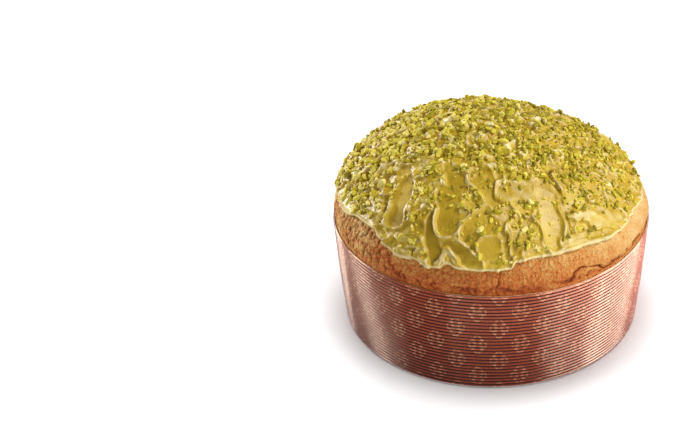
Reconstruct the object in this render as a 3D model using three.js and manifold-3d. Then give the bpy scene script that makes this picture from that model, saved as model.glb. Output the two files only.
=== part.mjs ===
// A low panettone in its corrugated paper baking mould, iced with pistachio cream and strewn with chopped
// pistachios. Millimetres, +Z up. The origin is the centre of the mould's foot, on the surface that it stands
// on, and the front faces -Y. Azimuth is measured in degrees from +X towards +Y, so the front is at -90.
import * as THREE from "three";
import { ConvexGeometry } from "three/addons/geometries/ConvexGeometry.js";
import { ParametricGeometry } from "three/addons/geometries/ParametricGeometry.js";
import { mergeVertices } from "three/addons/utils/BufferGeometryUtils.js";
import Module from "manifold-3d";

// ---- Driving dimensions ----
const RIM_RADIUS = 105; // outside of the paper mould at its rim
const FOOT_RADIUS = 100; // outside of the paper mould where it stands; the flare lets empty moulds nest
const MOULD_HEIGHT = 74;
const PAPER = 1.2; // micro-corrugated paper, ribs included
const GAP = 0.3; // air left between pieces that touch
const CHUNK_GAP = 0.4; // a little more, because the icing's facets are flat and the dome is round
const CROWN_RADIUS = 104; // widest girth of the risen dough, just above the rim
const GIRTH_HEIGHT = 79; // height of that girth
const CROWN_TOP = 138.5; // bare crust at the middle of the dome, under the icing
const ICING_THICK = 4; // icing over most of the dome
const ICING_THIN = 1.4; // icing near its lower edge
const CHUNK_COUNT = 54; // the largest chopped pieces, one node each
const CHUNK_LENGTH = [3.2, 4.6]; // shortest and longest of them

// ---- Shape of the risen crown ----
const CROWN_ROUNDNESS = 1.3; // 1 is an ellipse; more draws the flanks in
const CROWN_FULLNESS = 1.22; // 1 is an ellipse; more draws the shoulders down
const APEX_DRIFT = 9; // the dough rose a little to the left, so the top of the dome sits off the axis
const DRIFT_POWER = 1.2; // how late on the way up that lean sets in
const WIDE_LUMPS = { height: 2.4, count: 3, phase: 0.7 }; // swellings round the crown, from uneven dough
const NARROW_LUMPS = { height: 1.6, count: 5, twist: 2.1 };
const LOAF_CORNER = 6; // rounded lower edge of the loaf
const CROWN_STEP = 6; // degrees of crown angle between two rings of the loaf
const ICING_ROWS = 16; // rings of the icing from its top to its edge
const THINNING_START = 0.55; // share of the way from the top to the edge where the icing starts to thin

// ---- The mould's details ----
const FOLD_WIDTH = 8; // the wall's lower edge, folded in under the base disc
const FOLD_THICK = 0.8;
const FOLD_RADIUS = 1;
const LAP_AZIMUTH = 135; // the glued lap that closes the wall strip, at the back
const LAP_WIDTH = 14;
const LAP_PROUD = 0.6;
const VENT_RADIUS = 1.5; // steam holes in the base disc
const VENT_RING = 55;
const VENT_COUNT = 6;

// ---- Values that follow from them ----
const ROUND_SEGMENTS = 72;
const CROWN_RISE = CROWN_TOP - GIRTH_HEIGHT;
const BASE_BOTTOM = FOLD_THICK + GAP;
const LOAF_BOTTOM = BASE_BOTTOM + PAPER + GAP;

const wasm = await Module();
wasm.setup();

const radians = THREE.MathUtils.degToRad;

// Where the palette knife left the icing's lower edge: [azimuth, crown angle], in degrees, round the dome.
const ICING_EDGE = [
  [-180, 16], [-160, 18], [-142, 22.5], [-123, 14.5], [-105, 16], [-88, 15], [-72, 19.5], [-52, 19],
  [-30, 17], [-10, 15.5], [15, 18], [35, 16], [55, 19], [78, 15], [98, 17.5], [112, 14.5], [135, 18.5],
  [155, 19.5], [180, 16],
];

// ---- Helpers ----

// A closed three.js geometry as a manifold-3d solid.
function solidOf(geometry) {
  const bare = geometry.clone().deleteAttribute("normal").deleteAttribute("uv");
  const merged = mergeVertices(bare, 1e-4);
  return new wasm.Manifold(
    new wasm.Mesh({
      numProp: 3,
      vertProperties: merged.attributes.position.array,
      triVerts: new Uint32Array(merged.index.array),
    }),
  );
}

// A manifold-3d solid as a three.js geometry with flat facets.
function geometryOf(solid) {
  const { vertProperties, triVerts } = solid.getMesh();
  const indexed = new THREE.BufferGeometry();
  indexed.setAttribute("position", new THREE.BufferAttribute(vertProperties, 3));
  indexed.setIndex(new THREE.BufferAttribute(triVerts, 1));
  const faceted = indexed.toNonIndexed();
  faceted.computeVertexNormals();
  return faceted;
}

// A solid turned about +Z from [radius, height] pairs, which run anticlockwise with the axis on their left.
function turned(profile, segments = ROUND_SEGMENTS) {
  const points = profile.map(([r, z]) => new THREE.Vector2(r, z));
  return new THREE.LatheGeometry(points, segments).rotateX(Math.PI / 2);
}

// Repeatable random numbers from 0 to 1.
function randomFrom(seed) {
  let state = seed;
  return () => {
    state = (state + 0x6d2b79f5) | 0;
    let mixed = Math.imul(state ^ (state >>> 15), 1 | state);
    mixed = (mixed + Math.imul(mixed ^ (mixed >>> 7), 61 | mixed)) ^ mixed;
    return ((mixed ^ (mixed >>> 14)) >>> 0) / 4294967296;
  };
}

// ---- The dome ----

// The crown's half profile: angle 0 is the girth and 90 the top. Offset is measured along the outward normal.
function crownProfile(angle, offset) {
  const bend = radians(Math.min(Math.max(angle, 0), 90));
  const radius = CROWN_RADIUS * Math.cos(bend) ** CROWN_ROUNDNESS;
  const height = GIRTH_HEIGHT + CROWN_RISE * Math.sin(bend) ** CROWN_FULLNESS;
  const outward = CROWN_RISE * Math.cos(bend);
  const upward = CROWN_RADIUS * Math.sin(bend);
  const length = Math.hypot(outward, upward);
  return [radius + (offset * outward) / length, height + (offset * upward) / length];
}

// Unevenness of the risen crust. It fades out at the girth, where the paper held the dough, and at the top.
function settle(point) {
  const share = THREE.MathUtils.clamp((point.z - GIRTH_HEIGHT) / CROWN_RISE, 0, 1);
  const around = Math.atan2(point.y, point.x);
  const wide = WIDE_LUMPS.height * Math.sin(WIDE_LUMPS.count * around + WIDE_LUMPS.phase);
  const narrow = NARROW_LUMPS.height * Math.sin(NARROW_LUMPS.count * around - NARROW_LUMPS.twist * share);
  point.z += (wide + narrow) * share * (1 - share);
  point.x -= APEX_DRIFT * share ** DRIFT_POWER;
  return point;
}

// A point on the dome, at an azimuth in degrees, a crown angle and an offset from the crust.
function domePoint(azimuth, angle, offset, target = new THREE.Vector3()) {
  const [radius, height] = crownProfile(angle, offset);
  const around = radians(azimuth);
  return settle(target.set(radius * Math.cos(around), radius * Math.sin(around), height));
}

// The crown angle at which the icing ends, eased from one point of its edge to the next.
function edgeAngle(azimuth) {
  const turn = THREE.MathUtils.euclideanModulo(azimuth + 180, 360) - 180;
  const next = ICING_EDGE.findIndex(([place]) => place > turn);
  const [from, low] = ICING_EDGE[next - 1];
  const [to, high] = ICING_EDGE[next];
  return THREE.MathUtils.lerp(low, high, THREE.MathUtils.smoothstep(turn, from, to));
}

// ---- Pieces ----

function loafGeometry() {
  const wallInside = (height) =>
    FOOT_RADIUS + ((RIM_RADIUS - FOOT_RADIUS) * height) / MOULD_HEIGHT - PAPER - GAP;
  const profile = [[0, LOAF_BOTTOM]];
  const cornerCentre = wallInside(LOAF_BOTTOM + LOAF_CORNER) - LOAF_CORNER;
  for (let turn = 0; turn <= 90; turn += 30) {
    profile.push([
      cornerCentre + LOAF_CORNER * Math.sin(radians(turn)),
      LOAF_BOTTOM + LOAF_CORNER * (1 - Math.cos(radians(turn))),
    ]);
  }
  for (const share of [1 / 3, 2 / 3, 1]) {
    profile.push([wallInside(MOULD_HEIGHT * share), MOULD_HEIGHT * share]);
  }
  for (let angle = 0; angle < 90; angle += CROWN_STEP) profile.push(crownProfile(angle, 0));
  profile.push([0, CROWN_TOP]);

  const geometry = turned(profile);
  const position = geometry.attributes.position;
  const point = new THREE.Vector3();
  for (let i = 0; i < position.count; i++) {
    settle(point.fromBufferAttribute(position, i));
    position.setXYZ(i, point.x, point.y, point.z);
  }
  return geometry;
}

// The icing is a shell: down its outside from the top, round a blunt lip, and back up its inside.
function icingGeometry() {
  const thickness = (share) =>
    THREE.MathUtils.lerp(ICING_THICK, ICING_THIN, THREE.MathUtils.smoothstep(share, THINNING_START, 1));
  const surface = (u, v, target) => {
    const azimuth = -360 * u; // clockwise, so that the faces point out
    const edge = edgeAngle(azimuth);
    const outside = v < 0.5;
    const share = outside ? 2 * v : 2 * (1 - v);
    const angle = THREE.MathUtils.lerp(90, edge, share);
    domePoint(azimuth, angle, outside ? GAP + thickness(share) : GAP, target);
  };
  return new ParametricGeometry(surface, ROUND_SEGMENTS, 2 * ICING_ROWS + 1);
}

// The wall is one strip of paper: flared, folded in at its foot, and closed by a glued lap on its outside.
function wallGeometry() {
  const wall = turned([
    [FOOT_RADIUS - FOLD_WIDTH, 0],
    [FOOT_RADIUS - FOLD_RADIUS, 0],
    [FOOT_RADIUS, FOLD_RADIUS],
    [RIM_RADIUS, MOULD_HEIGHT],
    [RIM_RADIUS - PAPER, MOULD_HEIGHT],
    [FOOT_RADIUS - PAPER, BASE_BOTTOM + PAPER],
    [FOOT_RADIUS - PAPER, FOLD_THICK],
    [FOOT_RADIUS - FOLD_WIDTH, FOLD_THICK],
    [FOOT_RADIUS - FOLD_WIDTH, 0],
  ]);
  const halfPaper = PAPER / 2;
  const lapRing = turned([
    [FOOT_RADIUS - halfPaper, FOLD_RADIUS],
    [FOOT_RADIUS + LAP_PROUD, FOLD_RADIUS],
    [RIM_RADIUS + LAP_PROUD, MOULD_HEIGHT],
    [RIM_RADIUS - halfPaper, MOULD_HEIGHT],
    [FOOT_RADIUS - halfPaper, FOLD_RADIUS],
  ]);
  const slice = new THREE.BoxGeometry(RIM_RADIUS, LAP_WIDTH, 2 * MOULD_HEIGHT)
    .translate(RIM_RADIUS, 0, MOULD_HEIGHT / 2)
    .rotateZ(radians(LAP_AZIMUTH));
  const lap = solidOf(lapRing).intersect(solidOf(slice));
  return geometryOf(solidOf(wall).add(lap));
}

// The base disc lies on the wall's folded edge, with a ring of steam holes and one at its middle.
function baseGeometry() {
  const radius = FOOT_RADIUS - PAPER - GAP;
  let disc = solidOf(turned([
    [0, BASE_BOTTOM],
    [radius, BASE_BOTTOM],
    [radius, BASE_BOTTOM + PAPER],
    [0, BASE_BOTTOM + PAPER],
  ]));
  const vent = (x, y) =>
    solidOf(
      new THREE.CylinderGeometry(VENT_RADIUS, VENT_RADIUS, 4 * PAPER, 12)
        .rotateX(Math.PI / 2)
        .translate(x, y, BASE_BOTTOM),
    );
  disc = disc.subtract(vent(0, 0));
  for (let i = 0; i < VENT_COUNT; i++) {
    const around = (2 * Math.PI * i) / VENT_COUNT;
    disc = disc.subtract(vent(VENT_RING * Math.cos(around), VENT_RING * Math.sin(around)));
  }
  return geometryOf(disc);
}

// One chopped piece: the hull of a few random points, longer than it is thick, as a knife leaves a nut.
function chunkGeometry(random) {
  const between = (low, high) => THREE.MathUtils.lerp(low, high, random());
  const length = between(...CHUNK_LENGTH);
  const size = new THREE.Vector3(length, length * between(0.6, 0.8), length * between(0.45, 0.65));
  const cornerCount = 14;
  const corners = [];
  for (let i = 0; i < cornerCount; i++) {
    const corner = new THREE.Vector3(between(-1, 1), between(-1, 1), between(-1, 1));
    corners.push(corner.normalize().multiplyScalar(between(0.4, 0.5)).multiply(size));
  }
  return new ConvexGeometry(corners);
}

// A chopped piece lying on the icing, turned at random, with its lowest corner just clear of the icing.
function placeChunk(mesh, azimuth, angle, random) {
  const nudge = 2; // degrees to the neighbouring points that give the slope
  const surface = domePoint(azimuth, angle, GAP + ICING_THICK);
  const ahead = domePoint(azimuth + nudge, angle, GAP + ICING_THICK).sub(surface);
  const above = domePoint(azimuth, angle + nudge, GAP + ICING_THICK).sub(surface);
  const normal = ahead.cross(above).normalize();
  mesh.quaternion.setFromUnitVectors(new THREE.Vector3(0, 0, 1), normal);
  mesh.quaternion.multiply(
    new THREE.Quaternion().setFromAxisAngle(new THREE.Vector3(0, 0, 1), 2 * Math.PI * random()),
  );
  mesh.geometry.computeBoundingBox();
  const lift = CHUNK_GAP - mesh.geometry.boundingBox.min.z;
  mesh.position.copy(surface).addScaledVector(normal, lift);
}

// ---- Materials ----

const paper = new THREE.MeshStandardMaterial({ color: 0x7a3b2e, roughness: 0.55, metalness: 0.1 });
const crust = new THREE.MeshStandardMaterial({ color: 0xc07a3e, roughness: 0.85, metalness: 0 });
const icing = new THREE.MeshStandardMaterial({ color: 0xb9a944, roughness: 0.4, metalness: 0 });
const nut = new THREE.MeshStandardMaterial({ color: 0xa9b23a, roughness: 0.7, metalness: 0 });

// ---- Assembly ----

function piece(name, geometry, material) {
  const mesh = new THREE.Mesh(geometry, material);
  mesh.name = name;
  return mesh;
}

const panettone = new THREE.Group();
panettone.add(piece("mould_wall", wallGeometry(), paper));
panettone.add(piece("mould_base", baseGeometry(), paper));
panettone.add(piece("loaf", loafGeometry(), crust));
panettone.add(piece("pistachio_icing", icingGeometry(), icing));

// The large chopped pieces follow a sunflower spiral over the dome, so that no two touch.
const random = randomFrom(7);
const GOLDEN_ANGLE = 137.508;
const LOWEST_CHUNK = 28; // crown angle of the outermost one
const CHUNK_STRAY = 6; // degrees of azimuth to either side of the spiral
for (let i = 0; i < CHUNK_COUNT; i++) {
  const share = Math.sqrt((i + 0.7) / CHUNK_COUNT);
  const stray = THREE.MathUtils.lerp(-CHUNK_STRAY, CHUNK_STRAY, random());
  const azimuth = (i * GOLDEN_ANGLE + stray) % 360;
  const angle = THREE.MathUtils.lerp(90, LOWEST_CHUNK, share);
  const name = "pistachio_piece_" + String(i + 1).padStart(2, "0");
  const chunk = piece(name, chunkGeometry(random), nut);
  placeChunk(chunk, azimuth, angle, random);
  panettone.add(chunk);
}

export default panettone;
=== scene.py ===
# %% [markdown]
# # An iced panettone in its paper baking mould
#
# A low panettone is baked in a stiff ribbed paper mould and sold in it. The loaf rises above the rim as a
# broad dome, which is spread with pistachio cream by palette knife and strewn with chopped pistachios while
# the cream is soft. The construction model gives the size and place of every piece. This lesson makes their
# surfaces: the ribbed paper, the baked crust, the knife strokes in the icing, and the nuts.

# %% Load the construction model
import math
import random

import bmesh
import bpy
import numpy as np
from mathutils import Matrix, Vector, noise


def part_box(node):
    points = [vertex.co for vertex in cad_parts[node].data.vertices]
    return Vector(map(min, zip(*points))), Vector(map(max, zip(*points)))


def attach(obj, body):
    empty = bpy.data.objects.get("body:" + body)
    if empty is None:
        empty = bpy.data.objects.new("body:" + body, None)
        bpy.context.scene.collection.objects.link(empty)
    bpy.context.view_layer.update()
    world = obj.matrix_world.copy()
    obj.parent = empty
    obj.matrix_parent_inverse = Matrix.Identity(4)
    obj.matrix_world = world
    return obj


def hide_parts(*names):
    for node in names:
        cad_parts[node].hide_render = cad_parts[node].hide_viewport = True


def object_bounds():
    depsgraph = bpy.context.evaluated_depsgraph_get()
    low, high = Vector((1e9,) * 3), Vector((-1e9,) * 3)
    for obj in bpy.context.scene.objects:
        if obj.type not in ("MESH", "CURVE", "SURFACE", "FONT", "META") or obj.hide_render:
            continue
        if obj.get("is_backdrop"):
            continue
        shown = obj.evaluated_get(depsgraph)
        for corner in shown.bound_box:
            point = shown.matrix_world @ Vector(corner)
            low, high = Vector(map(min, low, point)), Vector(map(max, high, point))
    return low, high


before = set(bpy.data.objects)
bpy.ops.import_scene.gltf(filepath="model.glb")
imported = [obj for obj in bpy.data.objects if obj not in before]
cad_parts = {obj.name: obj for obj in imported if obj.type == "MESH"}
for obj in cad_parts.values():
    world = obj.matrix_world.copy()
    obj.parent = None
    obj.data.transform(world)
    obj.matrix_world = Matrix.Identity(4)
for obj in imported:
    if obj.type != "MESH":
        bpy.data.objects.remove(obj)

construction_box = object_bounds()
print("nodes in the construction model:", len(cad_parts))

# %% [markdown]
# ## Sizes
#
# Lengths are in metres, and MM turns millimetres into them. The sizes that the construction model knows are
# read from its boxes, so the surfaces always fit it. The front of the panettone faces -Y. A place on it is
# given by its azimuth, in degrees from +X towards +Y, so the front is at -90 and the right side at 0.

# %% Sizes that everything follows
MM = 0.001
wall_high, base_high, loaf_high = (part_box(name)[1] for name in ("mould_wall", "mould_base", "loaf"))

paper = 1.2 * MM
gap = 0.3 * MM
rim_radius = wall_high.x
rim_height = wall_high.z
foot_radius = base_high.x + gap + paper
girth_radius = loaf_high.x
girth_height = rim_height + 5 * MM
crown_rise = loaf_high.z - girth_height
print(f"rim {rim_radius / MM:.1f} mm, foot {foot_radius / MM:.1f} mm, crown {crown_rise / MM:.1f} mm")

# %% [markdown]
# ## Numbers that vary
#
# Baked and spread things are uneven. Perlin noise gives smooth unevenness of a chosen size, and a ridged
# version of it gives sharp creases. Both are worked out at the points of a mesh, and the random choices
# further on start from fixed seeds, so that every run makes the same panettone.

# %% Helpers for smooth steps and noise


def smoothstep(low, high, value):
    share = np.clip((value - low) / (high - low), 0, 1)
    return share * share * (3 - 2 * share)


def blend(start, end, share):
    return start + (end - start) * share


def uneven(points, size, seed=0.0):
    """Smooth noise from -1 to 1 whose swellings are about size across."""
    places = (points / size + seed).tolist()
    return np.array([noise.noise(place) for place in places])


def creased(points, size, seed=0.0):
    """Noise that is near 0 almost everywhere and rises to 1 along thin winding lines."""
    return np.clip(1 - 3.2 * np.abs(uneven(points, size, seed)), 0, 1)


# %% [markdown]
# ## Getting a mesh in and out of numbers
#
# A bmesh operator makes each shape as a flat sheet or a simple solid, and a function then moves its points to
# their places. Numpy moves a hundred thousand points at once, so the points are read out and written back
# through two small helpers. A third makes the finished object, gives it its material, rides it on the
# panettone's one body and hides the construction nodes that it stands for.

# %% Helpers for meshes


def read_points(mesh, value="co"):
    flat = np.empty(len(mesh.vertices) * 3)
    mesh.vertices.foreach_get(value, flat)
    return flat.reshape(-1, 3)


def write_points(mesh, points):
    mesh.vertices.foreach_set("co", points.astype(np.float32).ravel())
    mesh.update()


def new_mesh(bm, name):
    mesh = bpy.data.meshes.new(name)
    bm.to_mesh(mesh)
    bm.free()
    return mesh


def close_up(mesh):
    """Merges the points of seams and poles, and turns the faces outwards."""
    bm = bmesh.new()
    bm.from_mesh(mesh)
    bmesh.ops.remove_doubles(bm, verts=bm.verts, dist=0.002 * MM)
    bmesh.ops.recalc_face_normals(bm, faces=bm.faces)
    bm.to_mesh(mesh)
    bm.free()


def finish_piece(name, mesh, material, nodes=(), smooth=True):
    mesh.name = name
    mesh.materials.clear()
    mesh.materials.append(material)
    for polygon in mesh.polygons:
        polygon.use_smooth = smooth
    piece = bpy.data.objects.new(name, mesh)
    bpy.context.scene.collection.objects.link(piece)
    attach(piece, "root")
    if nodes:
        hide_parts(*nodes)
    return piece


def paint(mesh, name, values):
    """Keeps a number for each point of a mesh, for a material to read."""
    attribute = mesh.attributes.new(name, "FLOAT", "POINT")
    attribute.data.foreach_set("value", np.asarray(values, np.float32))


def triangles(mesh):
    return sum(len(polygon.vertices) - 2 for polygon in mesh.polygons)


# %% [markdown]
# ## Turned pieces from a sheet
#
# The wall of the mould, the loaf and the icing are all round. A sheet of squares has one side laid round the
# axis and the other along the outline, which is quicker than spinning an outline in a thousand small steps.
# The sheet's rows say how far along the outline a point lies, and its columns say how far round.

# %% A sheet of rows and columns


def round_sheet(name, columns, rows):
    """A sheet, with each point's row and its azimuth in degrees. Its last column lies on its first."""
    bm = bmesh.new()
    bmesh.ops.create_grid(bm, x_segments=columns, y_segments=rows - 1, size=1)
    mesh = new_mesh(bm, name)
    flat = read_points(mesh)
    column = np.rint((flat[:, 0] + 1) / 2 * columns) % columns
    row = np.rint((flat[:, 1] + 1) / 2 * (rows - 1)).astype(int)
    return mesh, row, column * 360 / columns - 180


def round_points(azimuth, radius, height):
    around = np.radians(azimuth)
    return np.stack([radius * np.cos(around), radius * np.sin(around), height + 0 * around], axis=1)


# %% [markdown]
# ## The dome
#
# The crown of the loaf is a little more pointed than an ellipse, leans to one side and has gentle swellings.
# A place on it is an azimuth and a crown angle, which is 0 at the widest girth and 90 at the top. The shape
# is the construction model's, so the icing made here covers the loaf that was packed.

# %% Points on the dome
crown_roundness = 1.3
crown_fullness = 1.22
apex_drift = 9 * MM
drift_power = 1.2


def crown_profile(angle, offset):
    bend = np.radians(np.clip(angle, 0, 90))
    radius = girth_radius * np.cos(bend) ** crown_roundness
    height = girth_height + crown_rise * np.sin(bend) ** crown_fullness
    outward = crown_rise * np.cos(bend)
    upward = girth_radius * np.sin(bend)
    length = np.hypot(outward, upward)
    return radius + offset * outward / length, height + offset * upward / length


def settle(points):
    share = np.clip((points[:, 2] - girth_height) / crown_rise, 0, 1)
    around = np.arctan2(points[:, 1], points[:, 0])
    lump = 2.4 * np.sin(3 * around + 0.7) + 1.6 * np.sin(5 * around - 2.1 * share)
    points[:, 2] += lump * MM * share * (1 - share)
    points[:, 0] -= apex_drift * share**drift_power
    return points


def on_dome(azimuth, angle, offset):
    azimuth, angle, offset = np.broadcast_arrays(azimuth, angle, offset)
    return settle(round_points(azimuth, *crown_profile(angle, offset)))


def dome_normals(azimuth, angle):
    away = on_dome(azimuth, angle, 1 * MM) - on_dome(azimuth, angle, 0)
    return away / np.linalg.norm(away, axis=1, keepdims=True)


# %% [markdown]
# ## Colours and materials
#
# Colours are written as sRGB hex values, as a colour picker shows them, and one function turns them to the
# linear values that the renderer works in. One more function adds a node to a material, with its settings
# and its links, and gives the output that is wanted: the first, another by name or number, or all for None.
# So each material below reads as a short recipe.

# %% Helpers for colours and nodes


def colour(code):
    channels = [int(code[i : i + 2], 16) / 255 for i in (1, 3, 5)]
    linear = [c / 12.92 if c <= 0.04045 else ((c + 0.055) / 1.055) ** 2.4 for c in channels]
    return (*linear, 1.0)


def add_node(tree, kind, inputs=None, stops=None, output=0, **settings):
    """Adds a node with its settings, stops and inputs, each a value or a link, and gives an output of it."""
    node = tree.nodes.new("ShaderNode" + kind)
    for name, value in settings.items():
        setattr(node, name, value)
    for name, value in (inputs or {}).items():
        if isinstance(value, bpy.types.NodeSocket):
            tree.links.new(value, node.inputs[name])
        else:
            node.inputs[name].default_value = value
    for index, (place, code) in enumerate((stops or {}).items()):
        ramp = node.color_ramp.elements
        element = ramp[index] if index < len(ramp) else ramp.new(place)
        element.position = place
        element.color = colour(code)
    return node.outputs if output is None else node.outputs[output]


def new_material(name, **values):
    """A material whose shader has these constant values, with its node tree."""
    material = bpy.data.materials.new(name)
    material.use_nodes = True
    shader = material.node_tree.nodes["Principled BSDF"]
    for name, value in values.items():
        shader.inputs[name.replace("_", " ")].default_value = value
    return material, material.node_tree


def wear(tree, tone, bumps):
    """Links a colour and bumps to the shader of a material."""
    shader = tree.nodes["Principled BSDF"]
    tree.links.new(tone, shader.inputs["Base Color"])
    tree.links.new(bumps, shader.inputs["Normal"])


# %% [markdown]
# ## The mould's paper
#
# Baking moulds are made of micro-corrugated greaseproof paper: a flat sheet with a finely fluted one glued
# to its outside, here printed a reddish brown with small gilt rosettes. The fluting runs round the wall as
# 29 ribs. The print lies mostly on the crests of the ribs, so the rosettes look broken into short dashes. The
# ink is darkest in the grooves as painted shade and palest on the crests as a painted highlight, over the
# real unevenness of the fibres. A thin glaze over the ink shines most where it is seen at a low angle.
#
# The rosettes stand in columns, and every second column is half a step lower. Two rectangular grids, one
# moved by half a cell both ways, give such a pattern. The distance round the wall comes from the azimuth of
# the Object coordinates, so the pattern stays on the paper however the piece is turned.

# %% Printed paper
rib_count = 29
rib_pitch = rim_height / rib_count
mean_radius = (rim_radius + foot_radius) / 2
rosette_columns = 24
rosette_across = 2 * math.pi * mean_radius / rosette_columns / MM
rosette_down = 25.7
petals_and_dot = (((3.7, 0, 0), 1.9, True), ((0, 4.6, 0), 2.3, True), ((3.1, 3.7, 0), 0.45, False))
cross_reach = 2.1
line_width = 0.55


def rosettes(tree, wall_place, shift):
    """1 on the lines of a rosette of ring petals, dots and a cross, on a grid moved by a shift in mm."""
    half_cell = (rosette_across / 2, rosette_down / 2, 1.0)
    back = tuple(-size for size in half_cell)
    moved = add_node(tree, "VectorMath", {0: wall_place, 1: shift}, operation="ADD")
    cell = add_node(tree, "VectorMath", {0: moved, 1: half_cell, 2: back}, operation="WRAP")
    folded = add_node(tree, "VectorMath", {0: cell}, operation="ABSOLUTE")
    parts = add_node(tree, "SeparateXYZ", {"Vector": folded}, output=None)
    diagonal = add_node(tree, "Math", {0: parts["X"], 1: parts["Y"]}, operation="SUBTRACT")
    diagonal = add_node(tree, "Math", {0: diagonal}, operation="ABSOLUTE")
    reach = add_node(tree, "VectorMath", {0: folded}, output="Value", operation="LENGTH")
    reach = add_node(tree, "Math", {0: reach, 1: cross_reach}, operation="SUBTRACT")
    lines = add_node(tree, "Math", {0: diagonal, 1: reach}, operation="MAXIMUM")
    for centre, radius, is_ring in petals_and_dot:
        reach = add_node(tree, "VectorMath", {0: folded, 1: centre}, output="Value", operation="DISTANCE")
        part = add_node(tree, "Math", {0: reach, 1: radius}, operation="SUBTRACT")
        if is_ring:
            part = add_node(tree, "Math", {0: part}, operation="ABSOLUTE")
        lines = add_node(tree, "Math", {0: lines, 1: part}, operation="MINIMUM")
    return add_node(tree, "MapRange", {"Value": lines, "From Min": line_width, "From Max": 0.3 * line_width})


paper_finish, tree = new_material(
    "printed_corrugated_paper", Roughness=0.33, IOR=1.3,
    Coat_Weight=1.0, Coat_Roughness=0.16, Coat_IOR=1.6,
)
place = add_node(tree, "TexCoord", output="Object")
axes = add_node(tree, "SeparateXYZ", {"Vector": place}, output=None)
azimuth = add_node(tree, "Math", {0: axes["Y"], 1: axes["X"]}, operation="ARCTAN2")
wall_place = add_node(tree, "CombineXYZ", {"X": azimuth, "Y": axes["Z"]})
to_mm = (mean_radius / MM, 1 / MM, 0.0)
wall_place = add_node(tree, "VectorMath", {0: wall_place, 1: to_mm}, operation="MULTIPLY")
first = (21.9, 2.4, 0.0)
second = (first[0] + rosette_across / 2, first[1] + rosette_down / 2, 0.0)
even = rosettes(tree, wall_place, first)
odd = rosettes(tree, wall_place, second)
gilt = add_node(tree, "Math", {0: even, 1: odd}, operation="MAXIMUM")

turn = add_node(tree, "Math", {0: axes["Z"], 1: 2 * math.pi / rib_pitch}, operation="MULTIPLY")
wave = add_node(tree, "Math", {0: turn}, operation="COSINE")
crest = add_node(tree, "MapRange", {"Value": wave, "From Min": 1.0, "From Max": -1.0})
patchy = add_node(tree, "TexNoise", {"Vector": place, "Scale": 1 / (2.5 * MM), "Detail": 3.0})
taken = add_node(tree, "MapRange", {"Value": patchy, "From Min": 0.35, "From Max": 0.6, "To Min": 0.35})
gilt = add_node(tree, "Math", {0: gilt, 1: taken}, operation="MULTIPLY")
narrow = add_node(tree, "Math", {0: crest, 1: 1.6}, operation="POWER")
gilt = add_node(tree, "Math", {0: gilt, 1: narrow}, operation="MULTIPLY", use_clamp=True)

fibres = add_node(tree, "TexNoise", {"Vector": place, "Scale": 1 / (0.9 * MM), "Detail": 4.0})
# The ink ramp is painted shade in the grooves and a painted highlight on the crests, over the fibres' real
# unevenness.
fibres_and_painted_rib_shade = add_node(tree, "Math", {0: fibres, 1: 0.5}, operation="SUBTRACT")
fibres_and_painted_rib_shade = add_node(tree, "Math", {0: fibres_and_painted_rib_shade, 1: 0.7, 2: crest}, operation="MULTIPLY_ADD")
inks = {0.0: "#2a0801", 0.3: "#521505", 0.65: "#742a15", 1.0: "#9a4a2c"}
ink = add_node(tree, "ValToRGB", {"Fac": fibres_and_painted_rib_shade}, stops=inks)
printed = add_node(tree, "Mix", {0: gilt, 6: ink, 7: colour("#c69778")}, output=2, data_type="RGBA")
bumps = add_node(tree, "Bump", {"Height": fibres, "Strength": 0.25, "Distance": 0.1 * MM})
wear(tree, printed, bumps)
print(f"rosettes every {rosette_across:.1f} mm round the wall, ribs every {rib_pitch / MM:.2f} mm")

# %% [markdown]
# ## The base disc
#
# The base is a disc of plain kraft paper that lies on the folded edge, with steam holes through it. Its
# construction shape is right as it stands, so it only needs its paper: matt, brown, and full of fibres. The
# fibres are two noises stretched in different directions, given in cells per metre: about 2 mm long, which is
# coarser than real pulp so that they show. Grease from the dough darkens the paper in broad patches.

# %% Kraft paper for the base
fibres_along = (500, 2500, 500)
fibres_across = (2200, 450, 500)

plain_paper, tree = new_material("kraft_paper", Roughness=0.8, IOR=1.5)
place = add_node(tree, "TexCoord", output="Object")
along = add_node(tree, "Mapping", {"Vector": place, "Scale": fibres_along})
across = add_node(tree, "Mapping", {"Vector": place, "Scale": fibres_across})
along = add_node(tree, "TexNoise", {"Vector": along, "Scale": 1.0, "Detail": 3.0})
across = add_node(tree, "TexNoise", {"Vector": across, "Scale": 1.0, "Detail": 3.0})
pulp = add_node(tree, "Math", {0: along, 1: across}, operation="ADD")
pulp = add_node(tree, "Math", {0: pulp, 1: 0.5}, operation="MULTIPLY")
browns = {0.35: "#8a5f38", 0.5: "#a67a4c", 0.65: "#bf976a"}
brown = add_node(tree, "ValToRGB", {"Fac": pulp}, stops=browns)
grease = add_node(tree, "TexNoise", {"Vector": place, "Scale": 1 / (25 * MM), "Detail": 2.0})
grease = add_node(tree, "MapRange", {"Value": grease, "From Min": 0.5, "From Max": 0.65, "To Max": 0.6})
stained = {0: grease, 6: brown, 7: colour("#7a4d28")}
stained = add_node(tree, "Mix", stained, output=2, data_type="RGBA")
bumps = add_node(tree, "Bump", {"Height": pulp, "Strength": 0.4, "Distance": 0.15 * MM})
wear(tree, stained, bumps)

base_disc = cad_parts["mould_base"]
base_disc.data.materials.clear()
base_disc.data.materials.append(plain_paper)

# %% [markdown]
# ## The ribbed wall
#
# The outline of the wall runs up the outside over 29 rounded ribs, across the cut edge, down the smooth
# inside and along the foot, which is folded in under the base. The ribs are a plain cosine, as fluting is.
# The paper isn't stiff enough to stay a perfect cone, so the wall wanders a little in and out, its rim dips,
# and the glued lap stands out a little at the back left. Only the outside is printed. The cut edge and the
# inside are plain kraft paper, as a second material, and an attribute keeps the two apart while the mesh's
# seam is merged.

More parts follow.
